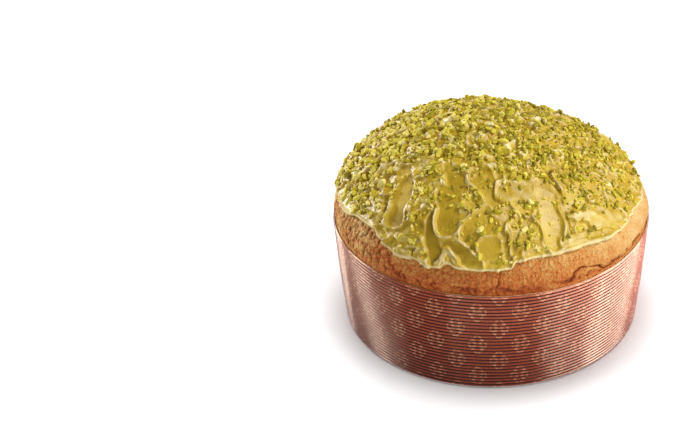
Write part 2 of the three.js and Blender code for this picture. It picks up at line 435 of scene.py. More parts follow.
# %% Model the mould's wall
wall_columns = 360
points_a_rib = 6
rib_depth = 0.95 * MM
lowest_rib = 0.3 * MM
highest_rib = rim_height - 0.25 * MM
inside_rows = 12
fold_width = 8 * MM
fold_thick = 0.8 * MM
lap_azimuth = 135
lap_half_width = 4
lap_proud = 0.6 * MM

# Each point is a radius, a height, and how freely it may wander.
outline = [(foot_radius - fold_width, 0, 0), (foot_radius - paper, 0, 0)]
for step in range(rib_count * points_a_rib + 1):
    share = step / (rib_count * points_a_rib)
    height = blend(lowest_rib, highest_rib, share)
    groove = 0.5 + 0.5 * math.cos(2 * math.pi * share * rib_count)
    outline.append((blend(foot_radius, rim_radius, share) - rib_depth * groove, height, share))
for step in range(inside_rows + 1):
    share = 1 - step / inside_rows
    height = blend(base_high.z, rim_height, share)
    outline.append((blend(foot_radius, rim_radius, share) - paper, height, share))
outline.append((foot_radius - paper, fold_thick, 0))
outline.append((foot_radius - fold_width, fold_thick, 0))
outline.append(outline[0])
outline = np.array(outline)

wall_mesh, row, azimuth = round_sheet("mould_wall", wall_columns, len(outline))
radius, height, freedom = outline[row].T
direction = round_points(azimuth, 1.0, 0.0)
wander = 0.3 + 0.6 * uneven(direction, 0.35, 3.1) + 0.15 * uneven(direction, 0.09, 7.7)
dip = 0.5 * uneven(direction, 0.4, 11.3) + 0.12 * uneven(direction, 0.03, 5.2)
on_lap = smoothstep(lap_half_width + 0.5, lap_half_width - 0.5, np.abs(azimuth - lap_azimuth))
outside = (row > 1) & (row <= rib_count * points_a_rib + 2)
radius = radius + wander * MM * np.sin(math.pi * np.clip(freedom, 0, 0.9)) + lap_proud * on_lap * outside
height = height + dip * MM * smoothstep(0.8, 1, freedom)
write_points(wall_mesh, round_points(azimuth, radius, height))
printed = outside & (row <= rib_count * points_a_rib + 1)
paint(wall_mesh, "printed", printed)
close_up(wall_mesh)
mould_wall = finish_piece("ribbed_mould_wall", wall_mesh, paper_finish, ["mould_wall"])
wall_mesh.materials.append(plain_paper)
printed = np.array([point.value for point in wall_mesh.attributes["printed"].data]) > 0.5
for polygon in wall_mesh.polygons:
    polygon.material_index = 0 if any(printed[corner] for corner in polygon.vertices) else 1
print("mould wall:", triangles(wall_mesh), "triangles")

# %% [markdown]
# ## The crust
#
# The crust of a sweet yeasted loaf is thin, dry and matt. It is a golden tan high up, where it only just
# browned, and a darker orange-brown low down at the front, by the hot paper. It is paler at the two sides
# too, partly its own tone and partly a painted highlight for the light that falls there. One ramp gives the
# tones, and what goes into it is how pale a place is: its height and side, broad patches, a fine mottle, and
# the relief, an attribute of the loaf's mesh that is low in wrinkles and lowest in tears. Through it the
# creases and tears get painted shade and the raised crust a painted highlight. Pores about 0.9 mm apart are
# painted darker as shade in their pits, and they and the mottle are the bump.

# %% Baked crust
crust_finish, tree = new_material("baked_crust", Roughness=0.75, IOR=1.3)
place = add_node(tree, "TexCoord", output="Object")
axes = add_node(tree, "SeparateXYZ", {"Vector": place}, output=None)
patches = add_node(tree, "TexNoise", {"Vector": place, "Scale": 1 / (14 * MM), "Detail": 3.0})
mottle = add_node(tree, "TexNoise", {"Vector": place, "Scale": 1 / (2.0 * MM), "Detail": 3.0})
pores = add_node(tree, "TexVoronoi", {"Vector": place, "Scale": 1 / (0.9 * MM)})
relief = add_node(tree, "Attribute", output="Fac", attribute_name="relief")

pale = 0.29
# Height pales the crust as its own tone. The two sides are paled partly as their own tone and partly as a
# painted highlight.
for axis, start, end, share in (
    ("Z", rim_height, rim_height + 22 * MM, 0.3),
    ("X", -0.55 * girth_radius, -0.85 * girth_radius, 0.36),
    ("X", 0.25 * girth_radius, 0.85 * girth_radius, 0.36),
):
    side = add_node(tree, "MapRange", {"Value": axes[axis], "From Min": start, "From Max": end})
    pale = add_node(tree, "Math", {0: side, 1: share, 2: pale}, operation="MULTIPLY_ADD")
# The right side, which is the last of the three, is also the least mottled.
calm = add_node(tree, "Math", {0: side, 1: -0.65, 2: 1.1}, operation="MULTIPLY_ADD")
for spots, share in ((patches, 0.8), (mottle, calm)):
    spots = add_node(tree, "Math", {0: spots, 1: 0.5}, operation="SUBTRACT")
    pale = add_node(tree, "Math", {0: spots, 1: share, 2: pale}, operation="MULTIPLY_ADD")
# Creases and tears are painted darker and raised crust paler: painted shade and painted highlight.
pale = add_node(tree, "Math", {0: relief, 1: 0.22, 2: pale}, operation="MULTIPLY_ADD")
tones = {0.0: "#9a4216", 0.25: "#bc6229", 0.5: "#c8803c", 0.75: "#d2a05c", 1.0: "#dcbc80"}
tone = add_node(tree, "ValToRGB", {"Fac": pale}, stops=tones)
# Tears get painted shade, and the pores painted shade in their pits.
tear_shade = add_node(tree, "MapRange", {"Value": relief, "From Min": -0.7, "From Max": -1.6, "To Max": 0.75})
pore_shade = {"Value": pores, "From Min": 0.0, "From Max": 0.35, "To Min": 0.3, "To Max": 0.0}
pore_shade = add_node(tree, "MapRange", pore_shade)
for share, dark in ((tear_shade, "#4a1f08"), (pore_shade, "#70340c")):
    tone = add_node(tree, "Mix", {0: share, 6: tone, 7: colour(dark)}, output=2, data_type="RGBA")
bumps = add_node(tree, "Bump", {"Height": mottle, "Strength": 1.0, "Distance": 1.6 * MM})
bumps = {"Height": pores, "Strength": 0.8, "Distance": 0.5 * MM, "Normal": bumps}
wear(tree, tone, add_node(tree, "Bump", bumps))

# %% [markdown]
# ## Where the icing ends
#
# The icing was spread to within a couple of centimetres of the rim, and its lower edge wanders with the
# strokes of the knife. The edge is a short list of places, eased from one to the next. The
# loaf needs it too, because the crust is only worked in detail where it isn't covered.

# %% The lower edge of the icing
icing_edge = [
    (-180, 16), (-160, 18), (-148, 22), (-138, 22.5), (-134, 19.5), (-129, 16.5), (-123, 14.5), (-117, 15.5),
    (-112, 13), (-107.5, 13.5), (-105, 17), (-101, 15), (-95, 14.5), (-87, 14.8), (-82.5, 15.2), (-80, 18.6),
    (-73, 19.5), (-63, 19.2), (-54, 19), (-41, 16.5), (-33, 16), (-22, 17.5), (-10, 15.5), (4, 17),
    (15, 18.5), (26, 15.5), (36, 16.5), (47, 20), (58, 18), (70, 15), (80, 15.5), (90, 18), (99, 17),
    (108, 14.5), (118, 15), (128, 18.5), (139, 19), (150, 16.5), (160, 19.5), (171, 18), (180, 16),
]


def edge_angle(azimuth):
    """The crown angle of the icing's edge, eased between the places in the list."""
    turns, angles = np.array(icing_edge).T
    after = np.clip(np.searchsorted(turns, azimuth, side="right"), 1, len(turns) - 1)
    share = smoothstep(turns[after - 1], turns[after], azimuth)
    return blend(angles[after - 1], angles[after], share)


# %% [markdown]
# ## The loaf
#
# The loaf is one baked body. It fills the mould, bulges over the rim at its girth and closes over the top.
# Only the band between rim and icing shows, so most rows of the sheet lie there, about half a millimetre
# apart. Its points are then moved along their normals: broad bulges first, then the wrinkles that form where
# crust has sunk on cooling, a tear and a small split where the rising crumb opened the crust, and a ragged
# seam where it broke away from the paper. The tear and the split follow short paths of places, each an
# azimuth and a height in millimetres.

# %% Model the loaf
loaf_columns = 900
loaf_corner = 6 * MM
wrinkle_depth = 0.75
crack_depth = 1.3
tear_depth = 1.7
split_depth = 0.9


def paper_inside(height):
    return blend(foot_radius, rim_radius, height / rim_height) - paper - gap


bottom = base_high.z + gap
centre = paper_inside(bottom + loaf_corner) - loaf_corner
outline = [(0, bottom), (centre * 0.5, bottom)]
for turn in range(0, 91, 18):
    bend = math.radians(turn)
    outline.append((centre + loaf_corner * math.sin(bend), bottom + loaf_corner * (1 - math.cos(bend))))
for height in (20, 35, 50, 60, 66, 70):
    outline.append((paper_inside(height * MM), height * MM))
for height in np.arange(72 * MM, girth_height, 0.5 * MM):
    outline.append((min(paper_inside(height), girth_radius), height))
for angle in np.concatenate([np.arange(0, 9, 1), np.arange(9, 26, 0.42), np.arange(27, 90, 7)]):
    outline.append(crown_profile(angle, 0))
outline.append((0, loaf_high.z))
outline = np.array(outline)


def outline_angle(level):
    """The crown angle at a height in mm, and 0 below the girth."""
    share = np.clip((level * MM - girth_height) / crown_rise, 0, 1)
    return np.degrees(np.arcsin(share ** (1 / crown_fullness)))


loaf_mesh, row, azimuth = round_sheet("loaf", loaf_columns, len(outline))
points = settle(round_points(azimuth, *outline[row].T))
write_points(loaf_mesh, points)
normals = read_points(loaf_mesh, "normal")
normals *= np.sign((normals * points).sum(axis=1, keepdims=True) + 1e-9)

level = points[:, 2] / MM
over_rim = level - rim_height / MM
above_rim = smoothstep(rim_height / MM - 1, rim_height / MM + 4, level)
under_icing = smoothstep(edge_angle(azimuth) + 1, edge_angle(azimuth) + 4, outline_angle(level))
open_crust = above_rim * (1 - under_icing)
on_left = smoothstep(-112, -138, azimuth) + smoothstep(100, 150, azimuth)
on_right = smoothstep(-75, -45, azimuth) * smoothstep(60, 20, azimuth)

bulges = 0.7 * uneven(points, 26 * MM, 1.7) + 0.3 * uneven(points, 9 * MM, 4.4)
pulled = points * (1, 1, 0.35)
wrinkles = creased(pulled, 3.4 * MM, 9.1) + 0.6 * creased(pulled, 2.1 * MM, 2.6)
cracks = creased(points, 7 * MM, 6.3) * smoothstep(8, 2, over_rim)
grain = 0.32 * uneven(points, 1.6 * MM, 8.8) + 0.35 * uneven(points, 3.1 * MM, 5.3)
move = bulges + grain * (1 - 0.6 * on_right)
move -= wrinkle_depth * wrinkles * (0.35 + on_left) * (1 - 0.7 * on_right)
move -= crack_depth * cracks * (1 - on_left)

tear = [
    (-64, 74.5), (-61.5, 76), (-60, 81.5), (-57.5, 83.5), (-54, 82), (-49.5, 80), (-47.5, 76), (-43, 74.5),
    (-37.5, 75), (-31.5, 74.4), (-25, 74.6),
]
split = [(-86, 90), (-86.5, 87), (-87.5, 84.5), (-87, 82), (-88.5, 79), (-88, 75)]


def distance_to_path(azimuth, level, path):
    """How far a point of the wall is from a path of azimuths and heights, in mm."""
    arc = math.radians(1) * girth_radius / MM
    nearest = np.full(len(azimuth), 1e3)
    for (from_turn, low), (to_turn, high) in zip(path, path[1:]):
        step = np.array([(to_turn - from_turn) * arc, high - low])
        place = np.stack([(azimuth - from_turn) * arc, level - low], axis=1)
        share = np.clip(place @ step / (step @ step), 0, 1)
        nearest = np.minimum(nearest, np.linalg.norm(place - share[:, None] * step, axis=1))
    return nearest


strayed = azimuth + 0.5 * uneven(points, 3 * MM, 3.3)
gaping = 1.0 + 0.9 * uneven(points, 3.5 * MM, 8.2)
move -= tear_depth * gaping * smoothstep(1.0, 0.1, distance_to_path(strayed, level, tear))
move -= split_depth * gaping * smoothstep(0.9, 0.1, distance_to_path(strayed, level, split))
crumbly = smoothstep(6, 0, over_rim) * smoothstep(-66, -56, azimuth) * smoothstep(10, -10, azimuth)
move -= crumbly * (0.9 + 1.3 * uneven(points, 2.6 * MM, 5.9))
seam = smoothstep(3.2, 0.2, over_rim) * smoothstep(-66, -50, azimuth)
move -= seam * (0.4 + 2.6 * np.clip(uneven(points, 4 * MM, 7.1), 0, 1))
points += normals * (move * open_crust * MM)[:, None]
write_points(loaf_mesh, points)
# The relief drives the crust's painted shade in creases and tears and its painted highlight on raised crust.
paint(loaf_mesh, "relief", np.clip((move - bulges) * open_crust, -1.5, 1))
close_up(loaf_mesh)
finish_piece("baked_loaf", loaf_mesh, crust_finish, ["loaf"])
print("loaf:", triangles(loaf_mesh), "triangles, largest dent", f"{-move.min():.1f} mm")

# %% [markdown]
# ## Pistachio icing
#
# The icing is a soft sweet pistachio cream with a satin surface. It is opaque, but light scatters a little
# way into it, which softens its shadows and warms its thin edges. Its olive yellow varies gently, because
# it was stirred by hand, and ground nut shows as darker specks about 0.7 mm across. A painted highlight
# makes the raised rims, lumps and edge paler, and painted shade makes the hollows browner. An attribute of
# the mesh, from -1 to 1, tells the two apart.

# %% Pistachio cream
cream_finish, tree = new_material(
    "pistachio_cream", Roughness=0.42, IOR=1.4, Subsurface_Weight=0.08, Subsurface_Scale=1.2 * MM,
    Subsurface_Radius=(1.0, 0.7, 0.2), Coat_Weight=0.25, Coat_Roughness=0.42,
)
place = add_node(tree, "TexCoord", output="Object")
stirred = add_node(tree, "TexNoise", {"Vector": place, "Scale": 1 / (12 * MM), "Detail": 3.0})
creams = {0.3: "#af8d18", 0.5: "#c09e22", 0.7: "#ceaf34"}
cream = add_node(tree, "ValToRGB", {"Fac": stirred}, stops=creams)
specks = add_node(tree, "TexVoronoi", {"Vector": place, "Scale": 1 / (2.4 * MM)})
specks = add_node(tree, "MapRange", {"Value": specks, "From Min": 0.2, "From Max": 0.12, "To Max": 0.35})
# The crest attribute is a painted highlight above 0 and painted shade below 0: pale on rims, lumps and the
# lip, browner in hollows.
crest = add_node(tree, "Attribute", output="Fac", attribute_name="crest")
hollow = add_node(tree, "MapRange", {"Value": crest, "From Min": -0.1, "From Max": -0.9, "To Max": 0.7})
crest = add_node(tree, "MapRange", {"Value": crest, "From Min": 0.25, "To Max": 0.8})
for share, tone in ((specks, "#8a7a1c"), (hollow, "#6f5412"), (crest, "#ecdeac")):
    cream = add_node(tree, "Mix", {0: share, 6: cream, 7: colour(tone)}, output=2, data_type="RGBA")
fine = add_node(tree, "TexNoise", {"Vector": place, "Scale": 1 / (1.6 * MM), "Detail": 3.0})
bumps = add_node(tree, "Bump", {"Height": fine, "Strength": 0.6, "Distance": 0.4 * MM})
wear(tree, cream, bumps)

# %% [markdown]
# ## Strokes of the palette knife
#
# A palette knife leaves a stroke with a smooth, slightly hollow floor and a thin raised rim on the side
# where the cream was pushed. A later stroke wipes out what it crosses. So a stroke is described by its start
# and its end on the dome, its width, the level of its floor, its slope across, the height of its rim and the
# side where the rim is highest, counted from the stroke's end towards its left. The last number says how free
# of nuts the floor stayed. The strokes at the front are listed one by one and the rest drawn by chance: large
# ones first, small ones over them, and the smoothest listed strokes last of all.

# %% The strokes
# (start azimuth, start angle, end azimuth, end angle, width, floor, slope, rim, rim's side, bareness)
hand_strokes = [
    (-134, 74, -115, 76, 10, -0.5, 0.0, 0.7, 0, 0.8),
    (-112, 58, -103, 49, 14, -0.8, 0.4, 1.0, -90, 0.85),
    (-90, 55, -83, 47, 16, -0.6, 0.0, 1.3, -110, 0.75),
    (-148, 48, -140, 50, 9, -0.8, 0.0, 0.8, 90, 0.8),
    (-149, 39, -147, 44, 9, -1.0, 0.0, 0.8, 90, 0.7),
    (-129, 46, -118, 39, 15, -0.7, 0.3, 1.3, -150, 0.2),
    (-150, 22, -137, 26, 9, -0.4, 0.0, 0.5, -90, 0.6),
    (-137, 20, -118, 30, 9, -0.5, -0.4, 0.6, 90, 0.7),
    (-127, 23, -110, 28, 15, -0.6, 0.5, 0.4, 90, 0.45),
    (-136, 46, -130, 30, 12, -1.6, -0.9, 1.0, -30, 0.97),
    (-112, 34, -109, 17.5, 13, -1.5, 0.0, 1.5, -10, 0.97),
    (-91, 35, -94, 30, 22, -0.6, 0.3, 1.7, -120, 0.7),
    (-89, 26, -88, 24, 14, 0.1, 0.0, 1.0, 180, 0.97),
    (-104.5, 25.5, -95, 18, 11, -0.9, 0.9, 2.2, 90, 0.98),
    (-108, 46, -105.5, 32, 14, -0.7, 0.2, 1.8, -35, 0.9),
    (-108, 16, -105.5, 22.5, 3.2, 1.0, 0.0, 2.0, -90, 1.0),
    (-105, 23, -101.5, 18, 3.2, 0.9, 0.0, 1.8, 90, 1.0),
    (-92, 21, -85, 19, 9, 0.1, 0.0, 0.6, -90, 0.3),
    (-77, 42, -73, 29, 20, -0.9, -0.4, 1.9, 60, 0.1),
    (-76, 48, -62, 46, 14, 0.3, -0.6, 1.4, 90, 0.9),
    (-80, 24, -72, 24, 9, -0.2, 0.0, 0.5, -90, 0.4),
    (-82, 31, -83, 16, 3.6, -2.9, 0.0, 0.9, 90, 0.98),
    (-54, 47, -58, 38, 13, -0.2, 0.0, 0.8, -60, 0.7),
    (-57, 42, -63, 26, 15, -0.8, -0.5, 1.9, 40, 0.92),
    (-51, 39, -56, 26, 3.2, -2.4, 0.0, 0.6, -90, 1.0),
    (-30, 49, -45, 33, 22, -1.4, 0.4, 2.0, -140, 0.15),
    (-45, 51, -48, 42, 2.6, -2.3, 0.0, 0.5, -90, 1.0),
    (-49, 31, -42, 28, 7, 0.9, -0.6, 0.3, 90, 1.0),
    (-27, 36, -34, 23, 20, 0.0, 0.3, 1.6, 170, 0.55),
    (-43, 26, -31, 22, 9, 0.3, 0.0, 0.6, -90, 0.95),
    (-7, 36, -8, 27, 12, -0.6, 0.0, 1.5, 150, 0.5),
    (-2, 50, 10, 40, 8, 0.3, 0.0, 1.1, 90, 0.6),
    (-60, 23, -50, 22, 8, 0.3, -0.3, 0.5, -90, 0.6),
    (-49, 21.5, -36, 17.5, 6, -0.7, 0.0, 1.0, -90, 0.75),
]


def chance_strokes(count, seed, scale):
    """Strokes of a scale scattered over the whole dome, mostly running down or across it."""
    draw = random.Random(seed)
    strokes = []
    for _ in range(count):
        azimuth = draw.uniform(-180, 180)
        angle = math.degrees(math.asin(draw.uniform(math.sin(math.radians(17)), 0.99)))
        heading = draw.gauss(0, 50)
        reach = scale * draw.uniform(7, 16)
        down = reach * 0.75 * math.cos(math.radians(heading))
        across = reach * 0.55 * math.sin(math.radians(heading)) / math.cos(math.radians(min(angle, 80)))
        strokes.append((
            azimuth, angle, azimuth + across, max(angle - down, 16), scale * draw.uniform(9, 17),
            draw.uniform(-1.2, 0.5), draw.uniform(-0.4, 0.4), draw.uniform(0.6, 1.7), draw.uniform(-180, 180),
            scale * draw.uniform(0, 0.8),
        ))
    return strokes


rough_strokes = [stroke for stroke in hand_strokes if stroke[-1] < 0.6]
smooth_strokes = [stroke for stroke in hand_strokes if stroke[-1] >= 0.6]
strokes = chance_strokes(200, 5, 1.0) + rough_strokes + chance_strokes(330, 8, 0.55) + smooth_strokes
print(len(strokes), "strokes,", len(hand_strokes), "of them placed by hand")

# %% [markdown]
# ## Height of the icing
#
# The icing starts as an even layer that thins towards its edge and swells into a bead along it, as soft cream
# does. Then each stroke is laid in turn. Inside it the old height is replaced by the floor, and round it a
# narrow rim is raised, steep outside and gentle inside. Lumps of cream between the strokes come last. One
# function gives the height to the points of the mesh and later to every nut, so the nuts lie exactly on the
# cream. It also marks crests for a painted highlight and hollows for painted shade, for the colour. All its
# heights are in millimetres.

# %% Lay the strokes
full_thickness = 2.4
edge_thickness = 1.8
bead_height = 0.8
thinnest, thickest = 0.6, 7.5
lowest_bead, highest_bead = 1.2, edge_thickness + 0.9
dish_depth = 0.4
streak_depth = 0.05
rim_slope_outside, rim_slope_inside = 0.8, 1.15


def lay_icing(azimuth, angle):
    """The icing's height over the crust, how bare of nuts it is, and its painted highlight on crests (1) and
    shade in hollows (-1).
    """
    places = on_dome(azimuth, angle, 0)
    edge = edge_angle(azimuth)
    share = (90 - angle) / (90 - edge)
    bead = smoothstep(0.935, 0.97, share) * smoothstep(1.01, 0.985, share)
    even = blend(full_thickness, edge_thickness, smoothstep(0.75, 0.96, share)) + bead_height * bead
    lumpy = np.maximum(smoothstep(48, 62, angle), smoothstep(-136, -152, azimuth) * smoothstep(26, 40, angle))
    height = even + 0.35 * uneven(places, 11 * MM, 2.2)
    bare = np.zeros(len(places))
    crest = np.zeros(len(places))
    patchy = 0.85 + 0.9 * uneven(places, 4.5 * MM, 3.7)
    for stroke in strokes:
        from_turn, from_angle, to_turn, to_angle, width, floor, slope, rim, rim_side, bareness = stroke
        start, end = on_dome(np.array([from_turn, to_turn]), np.array([from_angle, to_angle]), 0) / MM
        middle_turn, middle_angle = (from_turn + to_turn) / 2, (from_angle + to_angle) / 2
        up = dome_normals(np.array([middle_turn]), np.array([middle_angle]))[0]
        length = np.linalg.norm(end - start)
        ahead = (end - start) / length
        ahead = ahead - up * (ahead @ up)
        left = np.cross(up, ahead)
        near = np.flatnonzero(np.linalg.norm(places / MM - (start + end) / 2, axis=1) < length / 2 + width)
        offset = places[near] / MM - start
        along, aside = offset @ ahead, offset @ left
        beyond = along - np.clip(along, 0, length)
        swing = 0.12 * np.sin(0.32 * along + from_turn) + 0.10 * np.sin(0.45 * aside + to_turn)
        reach = np.hypot(beyond, aside) / (width / 2) + swing * np.minimum(1, width / 12)
        past_rim = (reach - 1.0) * width / 2
        inside = smoothstep(0.3, -1.0, past_rim)
        streaks = streak_depth * np.sin(4.1 * aside + 1.3 * np.sin(0.6 * along + from_turn))
        dish = dish_depth * (1 - np.clip(reach, 0, 1) ** 2)
        hollow = floor + slope * aside / (width / 2) - dish + streaks
        turned = np.arctan2(aside, along - length / 2) - math.radians(rim_side)
        strength = np.clip((0.35 + 0.75 * np.cos(turned)) * patchy[near], 0, 1)
        ridge = np.exp(-((past_rim / np.where(past_rim > 0, rim_slope_outside, rim_slope_inside)) ** 2))
        laid = blend(height[near], even[near] + hollow, inside)
        top = even[near] + floor + (rim - floor) * strength
        raised = laid + (top - laid) * ridge
        height[near] = np.where(strength > 0.03, np.maximum(laid, raised), laid)
        bare[near] = blend(bare[near], bareness, smoothstep(0.0, -1.2, past_rim))
        # The rims get a painted highlight, and a band just inside them gets painted shade.
        crest[near] = np.maximum(crest[near] * (1 - inside), ridge * strength * min(rim / 1.2, 1))
        crest[near] -= strength * np.exp(-(((past_rim + 2.0) / 0.9) ** 2))
        # Raised floors get a painted highlight.
        if floor > 0.2:
            crest[near] = np.maximum(crest[near], inside * min(0.3 + 0.45 * floor, 0.65) * patchy[near])
    lumps = 0.6 * uneven(places, 10 * MM, 4.8) + uneven(places, 6 * MM, 7.4)
    lumps += 0.5 * uneven(places, 3.4 * MM, 1.9)
    lumpy = np.maximum(lumpy, 0.45 * (1 - bare))
    height += (1.3 + 0.7 * lumpy) * lumpy * lumps
    # Lump tops get a painted highlight, lump hollows painted shade, and the lip along the edge a painted
    # highlight.
    crest = np.maximum(crest, lumpy * smoothstep(0.25, 0.75, lumps))
    crest -= 0.9 * lumpy * smoothstep(-0.1, -0.6, lumps)
    crest = np.maximum(crest, 0.85 * smoothstep(0.982, 0.994, share))
    height = blend(np.clip(height, lowest_bead, highest_bead), height, smoothstep(1.0, 0.975, share))
    return np.clip(height + 0.16 * uneven(places, 2.6 * MM, 6.6), thinnest, thickest), bare, crest


# %% [markdown]
# ## The icing's body
#
# The icing is one closed body: its top follows the strokes, its edge is a rounded bead, and its underside
# lies just in the crust. It is a sheet again. The rows run from the top of the dome down to the edge, where
# they are closer together, then round the bead and back under to the top. The columns crowd at the front,
# where the large strokes are.

# %% Model the icing
icing_columns = 740
top_rows = 118
bead_rows = 5
under_rows = 5
crowding = 0.3
sink = 0.25

icing_mesh, row, azimuth = round_sheet("icing", icing_columns, top_rows + bead_rows + under_rows)
azimuth = azimuth - math.degrees(crowding) * np.cos(np.radians(azimuth))
azimuth = (azimuth + 180) % 360 - 180
share = np.clip(row / (top_rows - 1), 0, 1) ** 0.85
under = row - (top_rows + bead_rows - 1)
share = np.where(under > 0, 1 - under / under_rows, share)
edge = edge_angle(azimuth)
angle = blend(90, edge, share)
height, bare, crest = lay_icing(azimuth, angle)
round_bead = np.pi * np.clip((row - top_rows + 1) / bead_rows, 0, 1)
rise = 0.5 + 0.5 * np.cos(round_bead)
out = 0.5 * np.sin(round_bead)
points = on_dome(azimuth, angle, blend(-sink, height, rise) * MM)
downhill = on_dome(azimuth, edge - 1, 0) - on_dome(azimuth, edge, 0)
downhill /= np.linalg.norm(downhill, axis=1, keepdims=True)
on_bead = (round_bead > 0) & (under <= 0)
points += downhill * (out * height * on_bead * MM)[:, None]
write_points(icing_mesh, points)
# The painted highlight and shade stay on the top; the bead's side and the underside get none.
paint(icing_mesh, "crest", np.where(under > 0, 0, crest * rise**2))
close_up(icing_mesh)
finish_piece("knife_spread_icing", icing_mesh, cream_finish, ["pistachio_icing"])
print("icing:", triangles(icing_mesh), "triangles, height", f"{height.min():.1f} to {height.max():.1f} mm")

# %% [markdown]
# ## Chopped pistachios
#
# Shelled pistachios are bright green inside and yellow outside, and some keep bits of brown skin. Chopping
# makes everything from crumbs to chips half a nut wide, with flat faces where the knife went. The colour of a
# chip is drawn by chance and kept as an attribute of its points, and one ramp turns that number into yellow
# green for most, and darker green, brown skin or pale yellow for some. The number is raised on the left side,
# partly for a coat of cream and partly as painted highlight, and lowered on the right as painted shade. The
# cut faces are matt and slightly rough.

# %% Pistachio flesh and skin
nut_finish, tree = new_material(
    "chopped_pistachio", Roughness=0.6, IOR=1.35, Subsurface_Weight=0.05, Subsurface_Scale=0.5 * MM,
    Subsurface_Radius=(0.8, 1.0, 0.3),
)
place = add_node(tree, "TexCoord", output="Object")
tint = add_node(tree, "Attribute", output="Fac", attribute_name="tint")
blotch = add_node(tree, "TexNoise", {"Vector": place, "Scale": 1 / (1.3 * MM), "Detail": 2.0})
mixed = add_node(tree, "Math", {0: blotch, 1: 0.14, 2: tint}, operation="MULTIPLY_ADD")
skin = {0.0: "#6b4612", 0.06: "#94691e"}
greens = {0.1: "#8f8014", 0.3: "#b5a322", 0.55: "#d0be36", 0.8: "#dcca4a", 1.0: "#ead97a"}
flesh = add_node(tree, "ValToRGB", {"Fac": mixed}, stops={**skin, **greens})
grit = add_node(tree, "TexNoise", {"Vector": place, "Scale": 1 / (0.5 * MM), "Detail": 2.0})
bumps = add_node(tree, "Bump", {"Height": grit, "Strength": 0.3, "Distance": 0.1 * MM})
wear(tree, flesh, bumps)

# %% [markdown]
# ## The shape of a chip
#
# A chip starts as a low ball, stretched into an oval. A few flat cuts at random slice its sides away, and the
# cuts are filled, which leaves the corners that a knife makes. A few different chips, turned and scaled, are
# enough for thousands, and each has only a few dozen faces.

# %% Cut a chip


def chip_shape(name, seed, subdivisions, cuts):
    """A chip about 2 across, centred on the origin."""
    draw = random.Random(seed)
    bm = bmesh.new()
    bmesh.ops.create_icosphere(bm, subdivisions=subdivisions, radius=1)
    stretch = (draw.uniform(0.85, 1.2), draw.uniform(0.45, 0.72), draw.uniform(0.35, 0.55))
    bmesh.ops.scale(bm, vec=stretch, verts=bm.verts)
    for _ in range(cuts):
        direction = Vector((draw.gauss(0, 0.45), draw.gauss(0, 1), draw.gauss(0, 1))).normalized()
        depth = max(abs(direction.dot(vert.co)) for vert in bm.verts) * draw.uniform(0.4, 0.75)
        parts = bm.verts[:] + bm.edges[:] + bm.faces[:]
        cut = bmesh.ops.bisect_plane(
            bm, geom=parts, plane_co=direction * depth, plane_no=direction, clear_outer=True
        )
        rim = [part for part in cut["geom_cut"] if isinstance(part, bmesh.types.BMEdge)]
        bmesh.ops.holes_fill(bm, edges=rim)
    bmesh.ops.recalc_face_normals(bm, faces=bm.faces)
    return new_mesh(bm, name)


def lying(place, normal, size, draw):
    """The matrix that lays a chip of this half length on the icing, tipped and turned by chance."""
    tip = Vector([draw.gauss(0, 0.45) for _ in range(3)])
    upright = (Vector(normal) + tip).normalized().to_track_quat("Z", "Y").to_matrix().to_4x4()
    turned = Matrix.Rotation(draw.uniform(0, 6.28), 4, "Z")
    return Matrix.Translation(place) @ upright @ turned @ Matrix.Scale(size, 4)


# %% [markdown]
# ## The large pieces
#
# The construction model holds the 54 largest pieces, each where it lies on the dome. Each is made again here
# with its knife cuts, at the centre of its box and a little shorter than the box's diagonal, because a piece
# doesn't reach the corners. It is let down until its underside is sunk into the finished icing.

# %% Make the large pieces
diagonal_share = 1.35
large_lift = 0.3
draw = random.Random(11)
large_nodes = sorted(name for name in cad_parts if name.startswith("pistachio_piece"))


def dome_place(point):
    """The azimuth and crown angle of the dome under a point near it."""
    angles = np.arange(5, 90, 0.5)
    share = np.sin(np.radians(angles)) ** crown_fullness
    turns = np.degrees(np.arctan2(point.y, point.x + apex_drift * share**drift_power))
    best = np.linalg.norm(on_dome(turns, angles, 0) - np.array(point), axis=1).argmin()
    return turns[best], angles[best]


centres = [sum(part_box(name), Vector()) / 2 for name in large_nodes]
where = np.array([dome_place(centre) for centre in centres])
heights = lay_icing(where[:, 0], where[:, 1])[0]
grounds = on_dome(where[:, 0], where[:, 1], heights * MM)
ups = dome_normals(where[:, 0], where[:, 1])
for index, name in enumerate(large_nodes):
    low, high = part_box(name)
    half = (high - low).length / 2 / diagonal_share
    shape = chip_shape(name, index, 2, 5)
    place = Vector(grounds[index]) + Vector(ups[index]) * half * large_lift
    shape.transform(lying(place, ups[index], half, draw))
    paint(shape, "tint", np.full(len(shape.vertices), draw.uniform(0.3, 0.9)))
    finish_piece("chopped_" + name, shape, nut_finish, [name], smooth=False)
print(len(large_nodes), "large pieces, each", triangles(shape), "triangles or so")

# %% [markdown]
# ## Where the chopped nuts fell
#
# Nuts thrown by hand from above fall thickest on the top and one side, and thin out towards the edge. They
# also gather in drifts and slide off the steep rims, and few stick to the smooth floors of the last strokes.
# Places are drawn at random and evenly over the surface. The chance that one is kept goes by its height and
# side, a noise for the drifts, how bare the stroke there stayed, and how near a crest is.

# %% Scatter the chopped nuts
chip_count = 20000
chips = [chip_shape(f"chip_{index}", 100 + index, 1, 3) for index in range(20)]

draw_many = np.random.default_rng(21)
angle_steps = np.linspace(15, 89.5, 300)
ring_radius, ring_height = crown_profile(angle_steps, 0)
ring_area = ring_radius * np.hypot(np.gradient(ring_radius), np.gradient(ring_height))
ring_share = np.cumsum(ring_area) / ring_area.sum()
angle = np.interp(draw_many.random(chip_count), ring_share, angle_steps)
azimuth = draw_many.uniform(-180, 180, chip_count)
height, bare, crest = lay_icing(azimuth, angle)
places = on_dome(azimuth, angle, height * MM)

